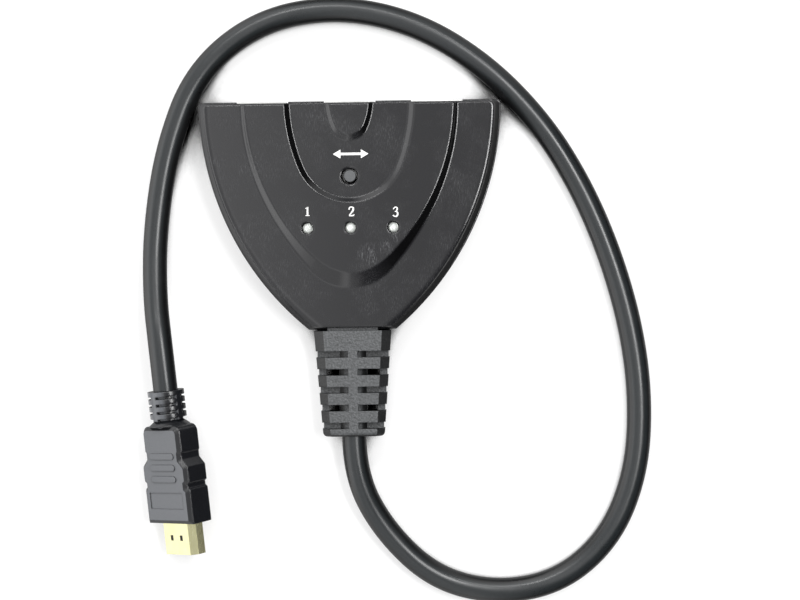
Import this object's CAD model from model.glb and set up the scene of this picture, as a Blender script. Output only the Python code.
"""Dress and light a three-input video port switch with a looped pigtail lead."""

import logging
import math
from dataclasses import dataclass
from enum import Enum
from typing import ClassVar

import bmesh
import bpy
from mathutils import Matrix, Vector


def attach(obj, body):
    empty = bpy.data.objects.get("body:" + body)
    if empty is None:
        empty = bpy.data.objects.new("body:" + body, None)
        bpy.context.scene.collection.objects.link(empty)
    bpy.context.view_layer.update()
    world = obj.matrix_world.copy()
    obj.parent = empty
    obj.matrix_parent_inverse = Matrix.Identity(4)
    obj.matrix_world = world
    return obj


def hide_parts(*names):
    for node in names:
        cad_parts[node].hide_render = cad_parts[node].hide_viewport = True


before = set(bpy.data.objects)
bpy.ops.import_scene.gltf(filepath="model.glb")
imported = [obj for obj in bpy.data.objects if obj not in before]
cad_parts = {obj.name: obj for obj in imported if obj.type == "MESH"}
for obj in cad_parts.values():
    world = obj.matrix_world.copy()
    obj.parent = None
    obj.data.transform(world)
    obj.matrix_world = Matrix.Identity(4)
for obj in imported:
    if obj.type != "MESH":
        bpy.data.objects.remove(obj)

log = logging.getLogger("port_switch")

Colour = tuple[float, float, float, float]
Point = tuple[float, float, float]
Span = tuple[float, float]
Stroke = tuple[Point, ...]
Settings = dict[str | int, object]
Tree = bpy.types.NodeTree
Socket = bpy.types.NodeSocket

MM = 0.001
BLACK: Colour = (0.0, 0.0, 0.0, 1.0)
WHITE: Colour = (1.0, 1.0, 1.0, 1.0)
WHOLE: Span = (0.0, 1.0)
# The values of a noise mostly lie in this span
NOISE_SPAN: Span = (0.3, 0.7)
# Points nearer than this, in metres, are one
MERGE_DISTANCE = 1e-7
# Edges that turn by more than this stay sharp
SHARP_ANGLE = math.radians(35)
# In degrees
QUARTER_TURN = 90
# Sockets of a colour mix: its share, its two colours and its result
MIX_SHARE = 0
MIX_FIRST = 6
MIX_SECOND = 7
MIX_RESULT = 2
# Sockets of a sum, a product and other mathematics
FIRST = 0
SECOND = 1
# The numbers of the inputs, whose middle one is on the case's centre line
INPUTS = (1, 2, 3)
MIDDLE_INPUT = 2


def linear(code: str) -> Colour:
    """Turn an sRGB colour into the linear one that the shaders take.

    Args:
        code: Six hex digits, such as "2b2c2e".

    Returns:
        Red, green, blue and an alpha of 1.
    """
    parts = [int(code[i : i + 2], 16) / 255 for i in (0, 2, 4)]
    red, green, blue = (p / 12.92 if p <= 0.04045 else ((p + 0.055) / 1.055) ** 2.4 for p in parts)
    return (red, green, blue, 1.0)


def add_node(
    tree: Tree,
    kind: str,
    settings: Settings | None = None,
    links: dict[str | int, Socket] | None = None,
) -> bpy.types.Node:
    """Add a shader node.

    Args:
        tree: The node tree that gets it.
        kind: The node's type name.
        settings: Values for its inputs or for its own properties.
        links: Sockets that feed its inputs.

    Returns:
        The new node.
    """
    node = tree.nodes.new(kind)
    for key, value in (settings or {}).items():
        if isinstance(key, int) or key in node.inputs:
            node.inputs[key].default_value = value
        else:
            setattr(node, key, value)
    for key, socket in (links or {}).items():
        tree.links.new(socket, node.inputs[key])
    return node


def per_metre(size_mm: float) -> float:
    """Pattern scale whose features are about this many millimetres across."""
    return 1.0 / (size_mm * MM)


def ends(span: Span, levels: Span = WHOLE) -> Settings:
    """Say how one span of values is mapped to another.

    Args:
        span: Where the values start and end.
        levels: What they become there.

    Returns:
        The four values by the names of a map range's inputs.
    """
    return {"From Min": span[0], "From Max": span[1], "To Min": levels[0], "To Max": levels[1]}


def blank_material(name: str) -> tuple[bpy.types.Material, Tree]:
    """Make a material with no nodes.

    Args:
        name: The real material and its finish.

    Returns:
        The material and its node tree.
    """
    material = bpy.data.materials.new(name)
    material.use_nodes = True
    material.node_tree.nodes.clear()
    return material, material.node_tree


def lifted(tree: Tree, normal: Socket, lift: Socket) -> Socket:
    """Turn a shading normal upwards, as on a wall that rolls over into its top.

    Args:
        tree: The node tree that gets the nodes.
        normal: The normal as it is.
        lift: How much of straight up is added to it.

    Returns:
        The turned normal.
    """
    up = add_node(tree, "ShaderNodeCombineXYZ", {}, {"Z": lift}).outputs["Vector"]
    total = add_node(
        tree, "ShaderNodeVectorMath", {"operation": "ADD"}, {FIRST: normal, SECOND: up}
    ).outputs["Vector"]
    return add_node(
        tree, "ShaderNodeVectorMath", {"operation": "NORMALIZE"}, {FIRST: total}
    ).outputs["Vector"]


@dataclass(frozen=True)
class Pattern:
    """A noise: how large its features are, in millimetres, and how broken."""

    size_mm: float
    detail: float = 2.0
    roughness: float = 0.5
    distortion: float = 0.0

    def settings(self) -> Settings:
        """Give the pattern as a noise takes it.

        Returns:
            Values by the names of the noise's inputs.
        """
        return {
            "Scale": per_metre(self.size_mm),
            "Detail": self.detail,
            "Roughness": self.roughness,
            "Distortion": self.distortion,
        }


class WornFace(Enum):
    """Which way the paler face of a moulded piece points."""

    UP = (0.0, 0.0, 1.0)
    GRIP = (-0.65, -0.097, 0.754)


@dataclass(frozen=True)
class MouldedPlastic:
    """A moulded plastic with the grain and the softened edges of its tool.

    Its colour goes from one tint to the other with the grain. A piece with a worn face is darker
    on its other sides, which also shade as if they leant upwards.
    """

    name: str
    colour: str
    drift: str
    roughness: float
    spread: float
    grain: Pattern = Pattern(0.5)
    grain_depth_mm: float = 0.01
    blotch: Pattern = Pattern(14.0, 4.0, 0.6)
    edge_mm: float = 0.2
    edge_samples: int = 6
    ior: float = 1.5
    face: WornFace | None = None
    side_colour: str = "1c1d1f"
    side_lift: float = 0.3
    side_span: Span = (0.86, 0.73)

    def build(self) -> bpy.types.Material:
        """Put a fine grain and a slow drift of gloss under softened edges.

        Returns:
            The finish.
        """
        material, tree = blank_material(self.name)
        place = add_node(tree, "ShaderNodeTexCoord").outputs["Object"]
        blotch = add_node(tree, "ShaderNodeTexNoise", self.blotch.settings(), {"Vector": place})
        grain = add_node(tree, "ShaderNodeTexNoise", self.grain.settings(), {"Vector": place})
        tint = add_node(
            tree,
            "ShaderNodeMix",
            {"data_type": "RGBA", MIX_FIRST: linear(self.colour), MIX_SECOND: linear(self.drift)},
            {MIX_SHARE: grain.outputs["Fac"]},
        ).outputs[MIX_RESULT]
        gloss = add_node(
            tree,
            "ShaderNodeMapRange",
            ends(NOISE_SPAN, (self.roughness - self.spread, self.roughness + self.spread)),
            {"Value": blotch.outputs["Fac"]},
        ).outputs["Result"]
        soft = add_node(
            tree, "ShaderNodeBevel", {"samples": self.edge_samples, "Radius": self.edge_mm * MM}
        ).outputs["Normal"]
        normal = add_node(
            tree,
            "ShaderNodeBump",
            {"Strength": 1.0, "Distance": self.grain_depth_mm * MM},
            {"Height": grain.outputs["Fac"], "Normal": soft},
        ).outputs["Normal"]
        if self.face:
            side = self.side_share(tree, self.face)
            tint = add_node(
                tree,
                "ShaderNodeMix",
                {"data_type": "RGBA", MIX_SECOND: linear(self.side_colour)},
                {MIX_SHARE: side, MIX_FIRST: tint},
            ).outputs[MIX_RESULT]
            lift = add_node(
                tree, "ShaderNodeMath", {"operation": "MULTIPLY", SECOND: self.side_lift}, {FIRST: side}
            ).outputs["Value"]
            normal = lifted(tree, normal, lift)
        shader = add_node(
            tree,
            "ShaderNodeBsdfPrincipled",
            {"IOR": self.ior},
            {"Base Color": tint, "Roughness": gloss, "Normal": normal},
        )
        add_node(tree, "ShaderNodeOutputMaterial", {}, {"Surface": shader.outputs["BSDF"]})
        return material

    def side_share(self, tree: Tree, face: WornFace) -> Socket:
        """Tell how far a place is turned away from the worn face.

        Args:
            tree: The material's node tree.
            face: The worn face.

        Returns:
            A share that is 0 on the face and 1 on the sides.
        """
        facing = add_node(tree, "ShaderNodeTexCoord").outputs["Normal"]
        along = add_node(
            tree,
            "ShaderNodeVectorMath",
            {"operation": "DOT_PRODUCT", SECOND: Vector(face.value).normalized()},
            {FIRST: facing},
        ).outputs["Value"]
        return add_node(
            tree, "ShaderNodeMapRange", ends(self.side_span), {"Value": along}
        ).outputs["Result"]


@dataclass(frozen=True)
class HandledGloss:
    """Polished black ABS that has been picked up: hazy smears, scuffs and specks of dust.

    Lengths are in millimetres. A scuff is a place on the top and its radius. The rim shades as if
    it rolled over into the sides, whose outline is an arc, and the steep walls are turned up.
    """

    name: str
    colour: str
    haze: str
    roughness: float
    smear_roughness: float
    scuffs: tuple[Point, ...]
    smear: Pattern = Pattern(16.0, 5.0, 0.65, 0.4)
    smear_span: Span = (0.45, 0.75)
    smear_dust: float = 0.12
    speck: Pattern = Pattern(0.35, 3.0, 0.7)
    speck_span: Span = (0.6, 0.72)
    scratch: Pattern = Pattern(0.2, 1.0)
    scratch_span: Span = (0.52, 0.72)
    scratch_turn: float = math.radians(-52)
    scratch_stretch: float = 0.15
    patch: Pattern = Pattern(1.6, 3.0, 0.5, 0.6)
    patch_span: Span = (0.4, 0.64)
    patch_strength: float = 0.4
    scuff_z: float = 18.0
    scuff_core: float = 0.4
    edge_mm: float = 0.7
    edge_samples: int = 8
    ior: float = 1.5
    right_colour: str = "0a0a0b"
    right_span: Span = (0.22, 0.45)
    side_roughness: float = 0.35
    top_span: Span = (0.3, 0.5)
    side_lift: float = 0.9
    steep_span: Span = (0.6, 0.3)
    above_span: Span = (-0.4, -0.1)
    side_centre: Point = (-43.25, 34.0, 0.0)
    side_radius: float = 86.5
    roll_width: float = 2.5
    roll_drop: float = 0.36
    roll_power: float = 3.5

    def build(self) -> bpy.types.Material:
        """Lay smears, specks and hairline scratches over a deep gloss with a rolled rim.

        Returns:
            The finish.
        """
        material, tree = blank_material(self.name)
        coordinates = add_node(tree, "ShaderNodeTexCoord").outputs
        place = coordinates["Object"]
        facing = add_node(
            tree, "ShaderNodeSeparateXYZ", {}, {"Vector": coordinates["Normal"]}
        ).outputs
        haze = add_node(tree, "ShaderNodeTexNoise", self.smear.settings(), {"Vector": place})
        smear = add_node(
            tree, "ShaderNodeMapRange", ends(self.smear_span), {"Value": haze.outputs["Fac"]}
        ).outputs["Result"]
        dusty = add_node(
            tree,
            "ShaderNodeMix",
            {"data_type": "RGBA", MIX_FIRST: linear(self.colour), MIX_SECOND: linear(self.haze)},
            {MIX_SHARE: self.dust(tree, place, smear)},
        ).outputs[MIX_RESULT]
        right = add_node(
            tree, "ShaderNodeMapRange", ends(self.right_span), {"Value": facing["X"]}
        ).outputs["Result"]
        tint = add_node(
            tree,
            "ShaderNodeMix",
            {"data_type": "RGBA", MIX_SECOND: linear(self.right_colour)},
            {MIX_SHARE: right, MIX_FIRST: dusty},
        ).outputs[MIX_RESULT]
        sheen = add_node(
            tree,
            "ShaderNodeMapRange",
            ends(WHOLE, (self.roughness, self.smear_roughness)),
            {"Value": smear},
        ).outputs["Result"]
        gloss = add_node(
            tree,
            "ShaderNodeMapRange",
            {
                "From Min": self.top_span[0],
                "From Max": self.top_span[1],
                "To Min": self.side_roughness,
            },
            {"Value": facing["Z"], "To Max": sheen},
        ).outputs["Result"]
        shader = add_node(
            tree,
            "ShaderNodeBsdfPrincipled",
            {"IOR": self.ior},
            {"Base Color": tint, "Roughness": gloss, "Normal": self.rolled(tree, place, facing["Z"])},
        )
        add_node(tree, "ShaderNodeOutputMaterial", {}, {"Surface": shader.outputs["BSDF"]})
        return material

    def dust(self, tree: Tree, place: Socket, smear: Socket) -> Socket:
        """Draw specks and hairlines, faint in the smears and plain where the case was rubbed.

        Args:
            tree: The material's node tree.
            place: Where on the object a place is.
            smear: How smeared it is, from 0 to 1.

        Returns:
            How much of the dust's colour shows, from 0 to 1.
        """
        speckle = add_node(tree, "ShaderNodeTexNoise", self.speck.settings(), {"Vector": place})
        speck = add_node(
            tree, "ShaderNodeMapRange", ends(self.speck_span), {"Value": speckle.outputs["Fac"]}
        ).outputs["Result"]
        along = add_node(
            tree,
            "ShaderNodeMapping",
            {"Rotation": (0.0, 0.0, self.scratch_turn), "Scale": (1.0, self.scratch_stretch, 1.0)},
            {"Vector": place},
        ).outputs["Vector"]
        hairs = add_node(tree, "ShaderNodeTexNoise", self.scratch.settings(), {"Vector": along})
        scratch = add_node(
            tree, "ShaderNodeMapRange", ends(self.scratch_span), {"Value": hairs.outputs["Fac"]}
        ).outputs["Result"]
        patches = add_node(tree, "ShaderNodeTexNoise", self.patch.settings(), {"Vector": along})
        patch = add_node(
            tree,
            "ShaderNodeMapRange",
            ends(self.patch_span, (0.0, self.patch_strength)),
            {"Value": patches.outputs["Fac"]},
        ).outputs["Result"]
        rubbed = add_node(
            tree, "ShaderNodeMath", {"operation": "MULTIPLY", SECOND: self.smear_dust}, {FIRST: smear}
        ).outputs["Value"]
        for x, y, radius in self.scuffs:
            away = add_node(
                tree,
                "ShaderNodeVectorMath",
                {"operation": "DISTANCE", SECOND: Vector((x, y, self.scuff_z)) * MM},
                {FIRST: place},
            ).outputs["Value"]
            near = add_node(
                tree,
                "ShaderNodeMapRange",
                ends((radius * MM, radius * self.scuff_core * MM)),
                {"Value": away, "To Max": patch},
            ).outputs["Result"]
            rubbed = add_node(
                tree, "ShaderNodeMath", {"operation": "MAXIMUM"}, {FIRST: rubbed, SECOND: near}
            ).outputs["Value"]
        marks = add_node(
            tree, "ShaderNodeMath", {"operation": "MAXIMUM"}, {FIRST: speck, SECOND: scratch}
        ).outputs["Value"]
        return add_node(
            tree, "ShaderNodeMath", {"operation": "MULTIPLY"}, {FIRST: marks, SECOND: rubbed}
        ).outputs["Value"]

    def rolled(self, tree: Tree, place: Socket, upright: Socket) -> Socket:
        """Soften the edges, roll the rim over its sides and lift the steep walls.

        Args:
            tree: The material's node tree.
            place: Where on the object a place is.
            upright: The Z of its normal.

        Returns:
            The shading normal.
        """
        axes = add_node(tree, "ShaderNodeSeparateXYZ", {}, {"Vector": place}).outputs
        out = add_node(
            tree, "ShaderNodeMath", {"operation": "ABSOLUTE"}, {FIRST: axes["X"]}
        ).outputs["Value"]
        folded = add_node(
            tree, "ShaderNodeCombineXYZ", {}, {"X": out, "Y": axes["Y"]}
        ).outputs["Vector"]
        reach = add_node(
            tree,
            "ShaderNodeVectorMath",
            {"operation": "DISTANCE", SECOND: Vector(self.side_centre) * MM},
            {FIRST: folded},
        ).outputs["Value"]
        share = add_node(
            tree,
            "ShaderNodeMapRange",
            ends(((self.side_radius - self.roll_width) * MM, self.side_radius * MM)),
            {"Value": reach},
        ).outputs["Result"]
        fall = add_node(
            tree, "ShaderNodeMath", {"operation": "POWER", SECOND: self.roll_power}, {FIRST: share}
        ).outputs["Value"]
        soft = add_node(
            tree, "ShaderNodeBevel", {"samples": self.edge_samples, "Radius": self.edge_mm * MM}
        ).outputs["Normal"]
        roll = add_node(
            tree,
            "ShaderNodeBump",
            {"Strength": 1.0, "Distance": self.roll_drop * MM, "invert": True},
            {"Height": fall, "Normal": soft},
        ).outputs["Normal"]
        steep = add_node(
            tree,
            "ShaderNodeMapRange",
            ends(self.steep_span, (0.0, self.side_lift)),
            {"Value": upright},
        ).outputs["Result"]
        above = add_node(
            tree, "ShaderNodeMapRange", ends(self.above_span), {"Value": upright}
        ).outputs["Result"]
        lift = add_node(
            tree, "ShaderNodeMath", {"operation": "MULTIPLY"}, {FIRST: steep, SECOND: above}
        ).outputs["Value"]
        return lifted(tree, roll, lift)


@dataclass(frozen=True)
class PlatedMetal:
    """A plated or bare metal with drawn streaks and a little tarnish."""

    name: str
    colour: str
    tarnish: str
    roughness: float
    spread: float
    streak: Pattern = Pattern(0.3, 3.0)
    stretch: Point = (1.0, 0.08, 1.0)
    cloud: Pattern = Pattern(4.0, 3.0)
    edge_mm: float = 0.06
    edge_samples: int = 6

    def build(self) -> bpy.types.Material:
        """Stretch a noise along the drawing direction and let it move the gloss.

        Returns:
            The finish.
        """
        material, tree = blank_material(self.name)
        place = add_node(tree, "ShaderNodeTexCoord").outputs["Object"]
        along = add_node(
            tree, "ShaderNodeMapping", {"Scale": self.stretch}, {"Vector": place}
        ).outputs["Vector"]
        streak = add_node(tree, "ShaderNodeTexNoise", self.streak.settings(), {"Vector": along})
        cloud = add_node(tree, "ShaderNodeTexNoise", self.cloud.settings(), {"Vector": place})
        tint = add_node(
            tree,
            "ShaderNodeMix",
            {"data_type": "RGBA", MIX_FIRST: linear(self.colour), MIX_SECOND: linear(self.tarnish)},
            {MIX_SHARE: cloud.outputs["Fac"]},
        ).outputs[MIX_RESULT]
        gloss = add_node(
            tree,
            "ShaderNodeMapRange",
            ends(NOISE_SPAN, (self.roughness - self.spread, self.roughness + self.spread)),
            {"Value": streak.outputs["Fac"]},
        ).outputs["Result"]
        soft = add_node(
            tree, "ShaderNodeBevel", {"samples": self.edge_samples, "Radius": self.edge_mm * MM}
        ).outputs["Normal"]
        shader = add_node(
            tree,
            "ShaderNodeBsdfPrincipled",
            {"Metallic": 1.0},
            {"Base Color": tint, "Roughness": gloss, "Normal": soft},
        )
        add_node(tree, "ShaderNodeOutputMaterial", {}, {"Surface": shader.outputs["BSDF"]})
        return material


@dataclass(frozen=True)
class CastEpoxy:
    """Epoxy cast round a light's chip, half clear and half milky."""

    name: str
    colour: str
    clearness: float
    roughness: float
    cloud: Pattern = Pattern(1.2)
    ior: float = 1.53

    def build(self) -> bpy.types.Material:
        """Let some of the light through and vary the polish a little.

        Returns:
            The finish.
        """
        material, tree = blank_material(self.name)
        place = add_node(tree, "ShaderNodeTexCoord").outputs["Object"]
        cloud = add_node(tree, "ShaderNodeTexNoise", self.cloud.settings(), {"Vector": place})
        gloss = add_node(
            tree,
            "ShaderNodeMapRange",
            ends(WHOLE, (self.roughness / 2, self.roughness * 3 / 2)),
            {"Value": cloud.outputs["Fac"]},
        ).outputs["Result"]
        shader = add_node(
            tree,
            "ShaderNodeBsdfPrincipled",
            {
                "Base Color": linear(self.colour),
                "IOR": self.ior,
                "Transmission Weight": self.clearness,
            },
            {"Roughness": gloss},
        )
        add_node(tree, "ShaderNodeOutputMaterial", {}, {"Surface": shader.outputs["BSDF"]})
        return material


@dataclass(frozen=True)
class SolderMask:
    """Green solder mask over glass laminate, with copper tracks that lift it."""

    name: str
    mask: str
    track: str
    track_mm: float = 0.18
    run_mm: float = 6.3
    row_mm: float = 1.44
    lift_mm: float = 0.03
    roughness: float = 0.35
    ior: float = 1.55

    def build(self) -> bpy.types.Material:
        """Draw tracks as a brick pattern that lightens and lifts the mask.

        Returns:
            The finish.
        """
        material, tree = blank_material(self.name)
        place = add_node(tree, "ShaderNodeTexCoord").outputs["Object"]
        tracks = add_node(
            tree,
            "ShaderNodeTexBrick",
            {
                "Scale": 1.0 / MM,
                "Mortar Size": self.track_mm,
                "Brick Width": self.run_mm,
                "Row Height": self.row_mm,
                "Color1": BLACK,
                "Color2": BLACK,
                "Mortar": WHITE,
            },
            {"Vector": place},
        ).outputs["Color"]
        tint = add_node(
            tree,
            "ShaderNodeMix",
            {"data_type": "RGBA", MIX_FIRST: linear(self.mask), MIX_SECOND: linear(self.track)},
            {MIX_SHARE: tracks},
        ).outputs[MIX_RESULT]
        bump = add_node(
            tree, "ShaderNodeBump", {"Distance": self.lift_mm * MM}, {"Height": tracks}
        ).outputs["Normal"]
        shader = add_node(
            tree,
            "ShaderNodeBsdfPrincipled",
            {"Roughness": self.roughness, "IOR": self.ior},
            {"Base Color": tint, "Normal": bump},
        )
        add_node(tree, "ShaderNodeOutputMaterial", {}, {"Surface": shader.outputs["BSDF"]})
        return material


# Case: injection-moulded ABS from a polished tool, deep black with a hazy sheen where it was
# handled. The scratches are drawn far wider than real hairlines, so that they show.
GLOSS_ABS = HandledGloss(
    name="abs_gloss_black_moulded",
    colour="1e1e20",
    haze="a8a9ac",
    roughness=0.12,
    smear_roughness=0.2,
    scuffs=((13.9, -5.8, 3.2), (10.0, -10.0, 3.0), (5.5, -12.2, 4.2)),
)
# Boot: soft PVC from a blasted tool, whose grain sparkles grey on its flats and stays dark at its
# sides. The grain is drawn about three times as coarse as it is, so that it shows.
BOOT_PVC = MouldedPlastic(
    name="pvc_matte_grained_grey",
    colour="060708",
    drift="606264",
    roughness=0.42,
    spread=0.06,
    grain=Pattern(0.6),
    grain_depth_mm=0.2,
    edge_mm=0.4,
    face=WornFace.UP,
    side_colour="0e0f10",
)
# Grip: PVC moulded over the shell, finer and glossier than the boot, paler on its broad face
GRIP_PVC = MouldedPlastic(
    name="pvc_satin_moulded_grey",
    colour="4b4d51",
    drift="56585c",
    roughness=0.22,
    spread=0.04,
    grain=Pattern(0.3),
    grain_depth_mm=0.008,
    edge_mm=0.6,
    face=WornFace.GRIP,
    side_colour="16171a",
)
# Jacket: extruded PVC, smooth, with a soft highlight along its crown and darker flanks
JACKET_PVC = MouldedPlastic(
    name="pvc_extruded_jacket_charcoal",
    colour="181b1d",
    drift="212527",
    roughness=0.3,
    spread=0.05,
    grain=Pattern(0.8),
    grain_depth_mm=0.006,
    face=WornFace.UP,
    side_colour="0c0d0e",
)
# Button: ABS from a spark-eroded tool, dark with a coarse grain
BUTTON_ABS = MouldedPlastic(
    name="abs_grained_button_grey",
    colour="3c3d3f",
    drift="585a5c",
    roughness=0.5,
    spread=0.05,
    grain=Pattern(0.4),
    grain_depth_mm=0.03,
)
# Insulators: glass-filled nylon, dull black with a faint mottle
CONNECTOR_NYLON = MouldedPlastic(
    name="nylon_glass_filled_black",
    colour="151515",
    drift="1e1e1f",
    roughness=0.55,
    spread=0.05,
    grain=Pattern(0.25),
    grain_depth_mm=0.008,
    blotch=Pattern(4.0, 4.0, 0.6),
    edge_mm=0.05,
)
# Chips: moulding compound, dull charcoal with a fine tooth
CHIP_EPOXY = MouldedPlastic(
    name="epoxy_moulded_chip_black",
    colour="1a1a1b",
    drift="242426",
    roughness=0.6,
    spread=0.04,
    grain=Pattern(0.2),
    grain_depth_mm=0.006,
    blotch=Pattern(3.0, 4.0, 0.6),
    edge_mm=0.04,
)
# Capacitors: fired ceramic, matte tan
CAPACITOR_CERAMIC = MouldedPlastic(
    name="ceramic_fired_tan",
    colour="8a6d4c",
    drift="a08260",
    roughness=0.5,
    spread=0.05,
    grain=Pattern(0.3),
    grain_depth_mm=0.005,
    blotch=Pattern(2.0, 4.0, 0.6),
    edge_mm=0.05,
)
# Conductors: extruded polyethylene, milky white
CONDUCTOR_SLEEVE = MouldedPlastic(
    name="polyethylene_extruded_white",
    colour="dcdcd6",
    drift="c9cac4",
    roughness=0.38,
    spread=0.04,
    grain_depth_mm=0.004,
)
# Print: pad-printed ink, flat white and a little uneven
PRINT_INK = MouldedPlastic(
    name="ink_pad_printed_white",
    colour="f4f4f2",
    drift="e4e4e2",
    roughness=0.5,
    spread=0.05,
    grain=Pattern(0.25),
    grain_depth_mm=0.004,
    blotch=Pattern(3.0, 4.0, 0.6),
    edge_mm=0.01,
)
# Light's cup: bright stamped steel behind the epoxy
LIGHT_CUP = PlatedMetal(
    name="steel_stamped_silvered",
    colour="f2f3f1",
    tarnish="d2d4d1",
    roughness=0.35,
    spread=0.1,
    streak=Pattern(0.4, 3.0),
)
# Light's lens: epoxy that glows a little milky over its bright cup
LIGHT_EPOXY = CastEpoxy(name="epoxy_cast_milky", colour="f4f7f4", clearness=0.5, roughness=0.12)
# Plug shell: flash gold over nickel, pale and bright, a touch greenish
PALE_GOLD = PlatedMetal(
    name="gold_flash_plated_pale", colour="d0cea8", tarnish="c0bc90", roughness=0.24, spread=0.05
)
# Socket shells and switch plate: tin over steel, cool and satin
TINNED_STEEL = PlatedMetal(
    name="tin_plated_steel_satin", colour="c9c9c6", tarnish="b4b5b4", roughness=0.34, spread=0.06
)
# Contacts: selective gold, warmer than the shell
CONTACT_GOLD = PlatedMetal(
    name="gold_plated_contact",
    colour="e8c66a",
    tarnish="d9b358",
    roughness=0.25,
    spread=0.05,
    streak=Pattern(0.15, 3.0),
)
# Screws: zinc-plated steel, slightly dull
SCREW_ZINC = PlatedMetal(
    name="zinc_plated_steel",
    colour="a5a7aa",
    tarnish="8b8d91",
    roughness=0.36,
    spread=0.06,
    streak=Pattern(0.2, 3.0),
)
# Board: glossy green mask, paler over its tracks
BOARD_MASK = SolderMask(name="solder_mask_green", mask="14532b", track="257a43")


def dress(material: bpy.types.Material, *nodes: str) -> None:
    """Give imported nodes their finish.

    Args:
        material: The finish.
        nodes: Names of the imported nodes.
    """
    for name in nodes:
        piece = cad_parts[name]
        piece.data.materials.clear()
        piece.data.materials.append(material)
        log.info("%s: %s", name, material.name)


def finish_piece(
    mesh: bmesh.types.BMesh, name: str, material: bpy.types.Material, body: str
) -> bpy.types.Object:
    """Turn a finished bmesh into a piece of the object.

    Args:
        mesh: The geometry, in metres, in the object's frame. It is freed.
        name: The piece's name.
        material: Its finish.
        body: The body that it rides on.

    Returns:
        The new object, at the origin.
    """
    bmesh.ops.remove_doubles(mesh, verts=mesh.verts, dist=MERGE_DISTANCE)
    bmesh.ops.recalc_face_normals(mesh, faces=mesh.faces)
    data = bpy.data.meshes.new(name)
    mesh.to_mesh(data)
    mesh.free()
    piece = bpy.data.objects.new(name, data)
    bpy.context.scene.collection.objects.link(piece)
    data.materials.append(material)
    data.shade_smooth()
    data.set_sharp_from_angle(angle=SHARP_ANGLE)
    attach(piece, body)
    log.info("%s: %d faces", name, len(data.polygons))
    return piece


def turned(profile: list[Span], centre: Point, steps: int = 40) -> bmesh.types.BMesh:
    """Spin a profile about an upright axis.

    Args:
        profile: Radius and height of each point, in millimetres, from axis to axis.
        centre: The axis's foot, in millimetres.
        steps: How many faces go round.

    Returns:
        The closed shape, in metres.
    """
    mesh = bmesh.new()
    points = [mesh.verts.new((radius * MM, 0.0, height * MM)) for radius, height in profile]
    for low, high in zip(points, points[1:]):
        mesh.edges.new((low, high))
    bmesh.ops.spin(
        mesh,
        geom=mesh.verts[:] + mesh.edges[:],
        axis=(0, 0, 1),
        cent=(0, 0, 0),
        steps=steps,
        angle=math.tau,
        use_merge=True,
    )
    bmesh.ops.remove_doubles(mesh, verts=mesh.verts, dist=MERGE_DISTANCE)
    bmesh.ops.translate(mesh, verts=mesh.verts, vec=Vector(centre) * MM)
    return mesh


def brushed(
    strokes: tuple[Stroke, ...], height_mm: float, centre: Point, thickness: float
) -> bmesh.types.BMesh:
    """Lay brush strokes of changing width flat on a surface.

    Args:
        strokes: Points of x, y and half width, as shares of the height.
        height_mm: The height that the strokes are drawn to.
        centre: Where the middle of their foot lies, in millimetres.
        thickness: How far they stand off the surface, in millimetres.

    Returns:
        The flat marks, in metres.
    """
    curve = bpy.data.curves.new("strokes", "CURVE")
    curve.dimensions = "3D"
    curve.bevel_depth = 1.0
    curve.bevel_resolution = 2
    curve.resolution_u = 8
    curve.use_fill_caps = True
    for stroke in strokes:
        spline = curve.splines.new("NURBS")
        spline.points.add(len(stroke) - 1)
        for point, (x, y, half) in zip(spline.points, stroke):
            point.co = (x, y, 0.0, 1.0)
            point.radius = half
        spline.order_u = min(3, len(stroke))
        spline.use_endpoint_u = True
    holder = bpy.data.objects.new("strokes", curve)
    data = bpy.data.meshes.new_from_object(holder)
    mesh = bmesh.new()
    mesh.from_mesh(data)
    bpy.data.objects.remove(holder)
    bpy.data.meshes.remove(data)
    height = height_mm * MM
    lift = Vector((0.0, 0.0, thickness * MM))
    bmesh.ops.scale(mesh, verts=mesh.verts, vec=(height, height, 0.0))
    bmesh.ops.translate(mesh, verts=mesh.verts, vec=Vector(centre) * MM + lift)
    return mesh


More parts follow.
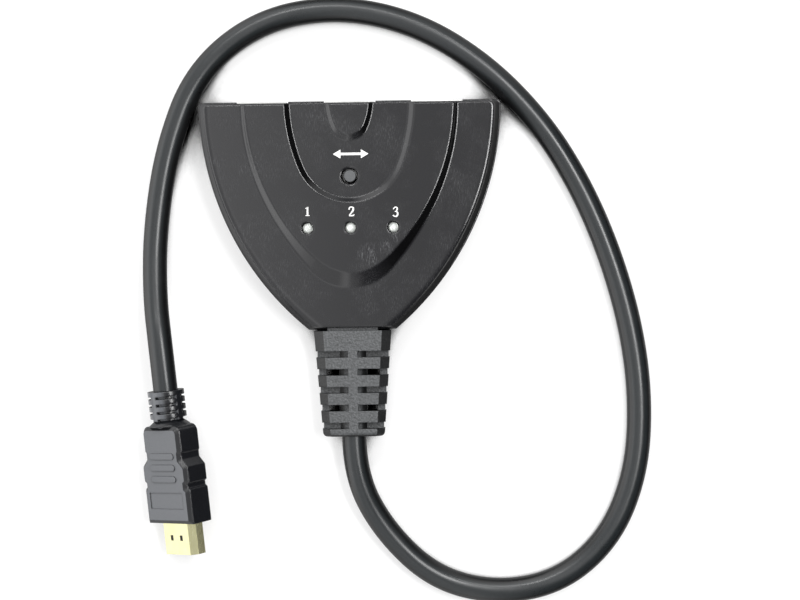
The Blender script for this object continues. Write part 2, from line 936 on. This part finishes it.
@dataclass
class Case:
    """The two covers, their screws and the print on the upper one.

    Lengths are in millimetres. A digit is a set of brush strokes, whose points are given by
    x, y and half width, as shares of the digit's height.
    """

    tier_z: float = 18.0
    recess_z: float = 17.0
    digit_height: float = 2.8
    digit_foot_y: float = -0.75
    digit_drop: float = 0.27
    digit_pitch: float = 12.9
    print_x: float = 0.3
    arrow_y: float = 17.6
    arrow_half: float = 5.2
    arrow_head: float = 2.2
    arrow_half_height: float = 1.3
    arrow_half_bar: float = 0.36
    ink: float = 0.02

    ONE: ClassVar[tuple[Stroke, ...]] = (
        ((0.02, 0.05, 0.085), (0.02, 0.95, 0.085)),
        ((-0.2, 0.76, 0.03), (0.02, 0.93, 0.05)),
        ((-0.2, 0.03, 0.035), (0.24, 0.03, 0.035)),
    )
    TWO: ClassVar[tuple[Stroke, ...]] = (
        (
            (-0.24, 0.7, 0.075),
            (-0.21, 0.9, 0.06),
            (0.0, 1.0, 0.045),
            (0.22, 0.88, 0.085),
            (0.2, 0.62, 0.095),
            (0.0, 0.36, 0.06),
            (-0.26, 0.07, 0.035),
        ),
        ((-0.26, 0.06, 0.05), (0.1, 0.06, 0.08), (0.26, 0.09, 0.05), (0.29, 0.22, 0.03)),
    )
    THREE: ClassVar[tuple[Stroke, ...]] = (
        (
            (-0.22, 0.78, 0.06),
            (-0.1, 0.97, 0.045),
            (0.14, 1.0, 0.06),
            (0.24, 0.76, 0.08),
            (0.08, 0.56, 0.04),
        ),
        (
            (-0.06, 0.54, 0.035),
            (0.16, 0.54, 0.055),
            (0.27, 0.3, 0.09),
            (0.16, 0.02, 0.07),
            (-0.12, 0.0, 0.045),
            (-0.24, 0.16, 0.075),
        ),
    )

    def build(self) -> None:
        """Dress the covers and print the upper one."""
        dress(GLOSS_ABS.build(), "top_cover", "bottom_cover")
        dress(SCREW_ZINC.build(), "case_screws")
        ink = PRINT_INK.build()
        self.print_digits(ink)
        self.print_arrow(ink)

    def print_digits(self, ink: bpy.types.Material) -> None:
        """Print a number behind each light, each a little further forward than the one on its left.

        Args:
            ink: The print's finish.
        """
        for number, strokes in zip(INPUTS, (self.ONE, self.TWO, self.THREE)):
            step = number - MIDDLE_INPUT
            foot = self.digit_foot_y - step * self.digit_drop
            spot = (step * self.digit_pitch + self.print_x, foot, self.tier_z)
            marks = brushed(strokes, self.digit_height, spot, self.ink)
            finish_piece(marks, f"digit_{number}", ink, "case")

    def print_arrow(self, ink: bpy.types.Material) -> None:
        """Print a double-headed arrow behind the button.

        Args:
            ink: The print's finish.
        """
        neck = self.arrow_half - self.arrow_head
        half = (
            (self.arrow_half, 0.0),
            (neck, self.arrow_half_height),
            (neck, self.arrow_half_bar),
        )
        outline = list(half) + [(-x, y) for x, y in reversed(half[1:])]
        outline += [(-x, -y) for x, y in half] + [(x, -y) for x, y in reversed(half[1:])]
        mesh = bmesh.new()
        ring = [
            mesh.verts.new(((self.print_x + x) * MM, (self.arrow_y + y) * MM, self.recess_z * MM))
            for x, y in outline
        ]
        face = mesh.faces.new(ring)
        raised = bmesh.ops.extrude_face_region(mesh, geom=[face])["geom"]
        top = [item for item in raised if isinstance(item, bmesh.types.BMVert)]
        bmesh.ops.translate(mesh, verts=top, vec=(0, 0, self.ink * MM))
        finish_piece(mesh, "button_arrow", ink, "case")


@dataclass
class StatusLights:
    """Three round lights: a clear dome, its flange and the bright cup inside.

    Lengths are in millimetres. The cup is a dish on a post, with a chip on its floor.
    """

    pitch: float = 12.6
    y: float = -4.1
    bottom: float = 12.9
    top: float = 17.9
    radius: float = 1.6
    flange_radius: float = 1.95
    flange_height: float = 0.8
    dome_steps: int = 10
    cup_rim: float = 16.6
    cup_radius: float = 1.5
    cup_wall: float = 0.12
    cup_depth: float = 0.7
    cup_under: float = 0.3
    floor_radius: float = 0.55
    post_radius: float = 0.5
    post_depth: float = 0.6
    chip_radius: float = 0.3
    chip_height: float = 0.12

    def build(self) -> None:
        """Cast each lens over its cup and dress the legs."""
        epoxy = LIGHT_EPOXY.build()
        cup = LIGHT_CUP.build()
        for number in INPUTS:
            spot = ((number - MIDDLE_INPUT) * self.pitch, self.y, 0.0)
            lens = finish_piece(
                turned(self.lens(), spot), f"light_lens_{number}", epoxy, "case"
            )
            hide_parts(f"status_light_{number}")
            finish_piece(turned(self.cup(), spot), f"light_cup_{number}", cup, "case")
        dress(TINNED_STEEL.build(), *(f"light_leads_{number}" for number in INPUTS))

    def lens(self) -> list[Span]:
        """Draw the lens's outline from its foot to its crown.

        Returns:
            Radius and height of each point.
        """
        centre = self.top - self.radius
        shoulder = self.bottom + self.flange_height
        turns = [math.radians(QUARTER_TURN * step / self.dome_steps) for step in range(self.dome_steps)]
        dome = [(self.radius * math.cos(turn), centre + self.radius * math.sin(turn)) for turn in turns]
        return [
            (0.0, self.bottom),
            (self.flange_radius, self.bottom),
            (self.flange_radius, shoulder),
            (self.radius, shoulder),
            *dome,
            (0.0, self.top),
        ]

    def cup(self) -> list[Span]:
        """Draw the cup's outline from the post's foot over the rim to the chip.

        Returns:
            Radius and height of each point.
        """
        floor = self.cup_rim - self.cup_depth
        return [
            (0.0, floor - self.post_depth),
            (self.post_radius, floor - self.post_depth),
            (self.cup_radius, floor - self.cup_under),
            (self.cup_radius, self.cup_rim),
            (self.cup_radius - self.cup_wall, self.cup_rim),
            (self.floor_radius, floor),
            (self.chip_radius, floor),
            (self.chip_radius, floor + self.chip_height),
            (0.0, floor + self.chip_height),
        ]


class InnerWorks:
    """The board and all that stands on it."""

    def build(self) -> None:
        """Dress the board, the sockets, the push switch, the chips and the button."""
        tin = TINNED_STEEL.build()
        nylon = CONNECTOR_NYLON.build()
        gold = CONTACT_GOLD.build()
        dress(BOARD_MASK.build(), "circuit_board")
        dress(tin, *(f"socket_shell_{number}" for number in INPUTS))
        dress(tin, "switch_plate", "switch_legs", "switch_dome", "chip_leads")
        dress(nylon, *(f"socket_tongue_{number}" for number in INPUTS), "switch_base")
        dress(gold, *(f"socket_contacts_{number}" for number in INPUTS))
        dress(CHIP_EPOXY.build(), "selector_chip", "resistors", "protection_arrays")
        dress(CAPACITOR_CERAMIC.build(), "capacitors")
        dress(BUTTON_ABS.build(), "select_button")


@dataclass
class Lead:
    """The looped lead, from the boot round the case to the plug, in millimetres."""

    diameter: float = 7.3
    length: float = 458.0
    start: Point = (0.0, -65.8, 7.4)
    turns: tuple[Point, ...] = (
        (0.0, -77.5, 7.4),
        (8.5, -94.5, 4.8),
        (23.5, -109.2, 3.65),
        (42.5, -114.0, 3.65),
        (61.5, -110.5, 3.65),
        (76.5, -97.5, 3.65),
        (84.5, -78.0, 3.65),
        (86.0, -56.0, 3.65),
        (83.5, -34.5, 3.65),
        (77.5, -12.5, 3.65),
        (69.0, 8.0, 3.65),
        (57.5, 27.0, 3.65),
        (41.0, 44.5, 3.65),
        (20.5, 57.5, 3.65),
        (-3.0, 63.0, 3.65),
        (-27.0, 59.0, 3.65),
        (-46.0, 44.0, 3.65),
        (-55.0, 21.5, 3.65),
        (-59.0, -3.0, 3.65),
        (-59.0, -23.5, 7.0),
        (-56.88, -39.03, 11.47),
    )
    end: Point = (-55.718, -51.357, 10.885)

    def build(self) -> bpy.types.Object:
        """Run the jacket and dress the boot and the conductors.

        Returns:
            The free lead.
        """
        jacket = JACKET_PVC.build()
        dress(BOOT_PVC.build(), "cable_boot")
        dress(jacket, "cord_inner_end")
        dress(CONDUCTOR_SLEEVE.build(), "cord_conductors")
        cord = self.run(jacket)
        return cord

    def run(self, jacket: bpy.types.Material) -> bpy.types.Object:
        """Lay one smooth spline along the lead's turns.

        Args:
            jacket: The jacket's finish.

        Returns:
            The curve, as thick as the jacket.
        """
        curve = bpy.data.curves.new("lead_jacket", "CURVE")
        curve.dimensions = "3D"
        curve.bevel_depth = self.diameter / 2 * MM
        curve.bevel_resolution = 8
        curve.resolution_u = 16
        curve.use_fill_caps = True
        spline = curve.splines.new("NURBS")
        route = (self.start, *self.turns, self.end)
        spline.points.add(len(route) - 1)
        for point, (x, y, z) in zip(spline.points, route):
            point.co = (x * MM, y * MM, z * MM, 1.0)
        spline.order_u = 3
        spline.use_endpoint_u = True
        curve.materials.append(jacket)
        cord = bpy.data.objects.new("lead_jacket", curve)
        bpy.context.scene.collection.objects.link(cord)
        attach(cord, "case")
        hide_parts("output_cord")
        log.info("lead_jacket: %d turns", len(self.turns))
        return cord


class Plug:
    """The moulded grip and the shell that goes into a socket."""

    def build(self) -> None:
        """Dress the plug's four pieces."""
        dress(GRIP_PVC.build(), "plug_grip")
        dress(PALE_GOLD.build(), "plug_shell")
        dress(CONNECTOR_NYLON.build(), "plug_insulator")
        dress(CONTACT_GOLD.build(), "plug_contacts")


@dataclass(frozen=True)
class Lamp:
    """A soft flat lamp that points at the object. Its lengths are in metres."""

    name: str
    place: Point
    height: float
    breadth: float
    power: float
    aim: Point = (0.0, 0.0, 0.0)

    def build(self) -> None:
        """Hang the lamp and turn it to its aim."""
        light = bpy.data.lights.new(self.name, "AREA")
        light.shape = "RECTANGLE"
        light.size = self.breadth
        light.size_y = self.height
        light.energy = self.power
        lamp = bpy.data.objects.new(self.name, light)
        lamp.location = self.place
        towards = Vector(self.aim) - Vector(self.place)
        lamp.rotation_euler = towards.to_track_quat("-Z", "Y").to_euler()
        bpy.context.scene.collection.objects.link(lamp)


@dataclass
class Studio:
    """A white table under soft light, seen from straight above.

    Lengths are in millimetres, but the floor is measured in metres and the camera's turn in
    degrees. A room step is a place across the room, from left to right, and its level of light.
    A back step is a place from front to back, the share of the room's light that is kept there
    and the light that is added.
    """

    camera_place: Point = (14.2, -25.5, 600.0)
    camera_turn: float = -0.8
    focal: float = 89.36
    sensor: float = 36.0
    floor_half_m: float = 3.0
    floor_drop: float = 0.02
    table_colour: str = "fafafa"
    unseen_colour: str = "707070"
    contact: float = 14.0
    contact_samples: int = 16
    shade_span: Span = (0.36, 0.5)
    glow_share: float = 0.5
    room_light: float = 3.2
    back_light: float = 1.2
    back_steps: tuple[Point, ...] = (
        (0.0, 1.0, 0.0),
        (0.8, 1.0, 0.0),
        (0.87, 1.0, 1.0),
        (0.955, 1.0, 1.0),
        (0.97, 0.0, 0.0),
    )
    room_steps: tuple[Span, ...] = (
        (0.0, 1.0),
        (0.08, 0.95),
        (0.16, 0.42),
        (0.38, 0.4),
        (0.445, 0.76),
        (0.475, 0.44),
        (0.505, 0.26),
        (0.53, 0.3),
        (0.57, 0.12),
        (0.62, 0.01),
    )
    lamps: tuple[Lamp, ...] = (
        Lamp("right_lamp", (0.36, 0.12, 0.93), height=0.2, breadth=0.6, power=7.0),
        Lamp("back_lamp", (0.0, 0.6, 0.8), height=0.09, breadth=0.8, power=3.2),
    )

    def build(self) -> None:
        """Set the camera, the lamps, the floor and the world."""
        self.set_camera()
        for lamp in self.lamps:
            lamp.build()
        self.lay_floor()
        self.set_world()
        bpy.context.scene.view_settings.view_transform = "Standard"

    def set_camera(self) -> None:
        """Hang the camera over the object and look straight down."""
        data = bpy.data.cameras.new("camera")
        data.sensor_width = self.sensor
        data.lens = self.focal
        camera = bpy.data.objects.new("camera", data)
        camera.location = Vector(self.camera_place) * MM
        camera.rotation_euler = (0.0, 0.0, math.radians(self.camera_turn))
        bpy.context.scene.collection.objects.link(camera)
        bpy.context.scene.camera = camera

    def lay_floor(self) -> None:
        """Lay a wide white table top that keeps the object's shadow."""
        mesh = bmesh.new()
        bmesh.ops.create_grid(mesh, x_segments=1, y_segments=1, size=self.floor_half_m)
        bmesh.ops.translate(mesh, verts=mesh.verts, vec=(0, 0, -self.floor_drop * MM))
        data = bpy.data.meshes.new("table_top")
        mesh.to_mesh(data)
        mesh.free()
        floor = bpy.data.objects.new("table_top", data)
        bpy.context.scene.collection.objects.link(floor)
        data.materials.append(self.table_finish())

    def table_finish(self) -> bpy.types.Material:
        """Mix white laminate that looks white without lighting the object.

        Returns:
            The table's finish.
        """
        material, tree = blank_material("laminate_white_table")
        path = add_node(tree, "ShaderNodeLightPath").outputs
        direct = add_node(
            tree,
            "ShaderNodeMath",
            {"operation": "MAXIMUM"},
            {FIRST: path["Is Camera Ray"], SECOND: path["Is Glossy Ray"]},
        ).outputs["Value"]
        seen = add_node(
            tree,
            "ShaderNodeMath",
            {"operation": "MAXIMUM"},
            {FIRST: direct, SECOND: path["Is Transmission Ray"]},
        ).outputs["Value"]
        open_sky = add_node(
            tree,
            "ShaderNodeAmbientOcclusion",
            {"samples": self.contact_samples, "Distance": self.contact * MM},
        ).outputs["AO"]
        strength = add_node(
            tree, "ShaderNodeMapRange", ends(self.shade_span), {"Value": open_sky}
        ).outputs["Result"]
        shade = add_node(
            tree,
            "ShaderNodeMix",
            {"data_type": "RGBA", MIX_FIRST: BLACK, MIX_SECOND: linear(self.table_colour)},
            {MIX_SHARE: strength},
        ).outputs[MIX_RESULT]
        lit = add_node(tree, "ShaderNodeBsdfDiffuse", {}, {"Color": shade}).outputs["BSDF"]
        glow = add_node(
            tree, "ShaderNodeEmission", {"Color": WHITE}, {"Strength": strength}
        ).outputs["Emission"]
        dull = add_node(
            tree, "ShaderNodeBsdfDiffuse", {"Color": linear(self.unseen_colour)}
        ).outputs["BSDF"]
        white = add_node(
            tree, "ShaderNodeMixShader", {0: self.glow_share}, {1: lit, 2: glow}
        ).outputs["Shader"]
        both = add_node(
            tree, "ShaderNodeMixShader", {}, {0: seen, 1: dull, 2: white}
        ).outputs["Shader"]
        add_node(tree, "ShaderNodeOutputMaterial", {}, {"Surface": both})
        return material

    def set_world(self) -> None:
        """Light the room overhead and along its left and back, and leave its right side dark."""
        world = bpy.data.worlds.new("room")
        world.use_nodes = True
        tree = world.node_tree
        tree.nodes.clear()
        towards = add_node(tree, "ShaderNodeTexCoord").outputs["Generated"]
        axes = add_node(tree, "ShaderNodeSeparateXYZ", {}, {"Vector": towards}).outputs
        across = self.ramp(tree, axes["X"], [(spot, level, level) for spot, level in self.room_steps])
        along = self.ramp(tree, axes["Y"], list(self.back_steps))
        parts = add_node(tree, "ShaderNodeSeparateColor", {}, {"Color": along}).outputs
        room = add_node(
            tree, "ShaderNodeMath", {"operation": "MULTIPLY", SECOND: self.room_light}, {FIRST: across}
        ).outputs["Value"]
        kept = add_node(
            tree, "ShaderNodeMath", {"operation": "MULTIPLY"}, {FIRST: room, SECOND: parts["Red"]}
        ).outputs["Value"]
        added = add_node(
            tree,
            "ShaderNodeMath",
            {"operation": "MULTIPLY", SECOND: self.back_light},
            {FIRST: parts["Green"]},
        ).outputs["Value"]
        level = add_node(
            tree, "ShaderNodeMath", {"operation": "ADD"}, {FIRST: kept, SECOND: added}
        ).outputs["Value"]
        sky = add_node(tree, "ShaderNodeBackground", {}, {"Strength": level}).outputs["Background"]
        add_node(tree, "ShaderNodeOutputWorld", {}, {"Surface": sky})
        bpy.context.scene.world = world

    def ramp(self, tree: Tree, axis: Socket, steps: list[Point]) -> Socket:
        """Step through levels of light along one axis of the room.

        Args:
            tree: The world's node tree.
            axis: The direction's part along that axis, from -1 to 1.
            steps: A place from 0 to 1 with its two levels, in order.

        Returns:
            The levels as a colour, the first in red and the second in green.
        """
        share = add_node(
            tree, "ShaderNodeMapRange", ends((-1.0, 1.0)), {"Value": axis}
        ).outputs["Result"]
        node = add_node(tree, "ShaderNodeValToRGB", {}, {"Fac": share})
        marks = node.color_ramp.elements
        anywhere = 0.5
        while len(marks) < len(steps):
            marks.new(anywhere)
        for mark, (spot, first, second) in zip(marks, steps):
            mark.position = spot
            mark.color = (first, second, first, 1.0)
        return node.outputs["Color"]


def main() -> None:
    """Build the scene's classes in order, report them and note the sizes before and after."""
    logging.basicConfig(level=logging.INFO, format="%(name)s %(message)s")
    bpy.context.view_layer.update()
    for assembly in (Studio(), Case(), StatusLights(), InnerWorks(), Lead(), Plug()):
        assembly.build()
        log.info("%s is built", type(assembly).__name__)


if __name__ == "__main__":
    main()
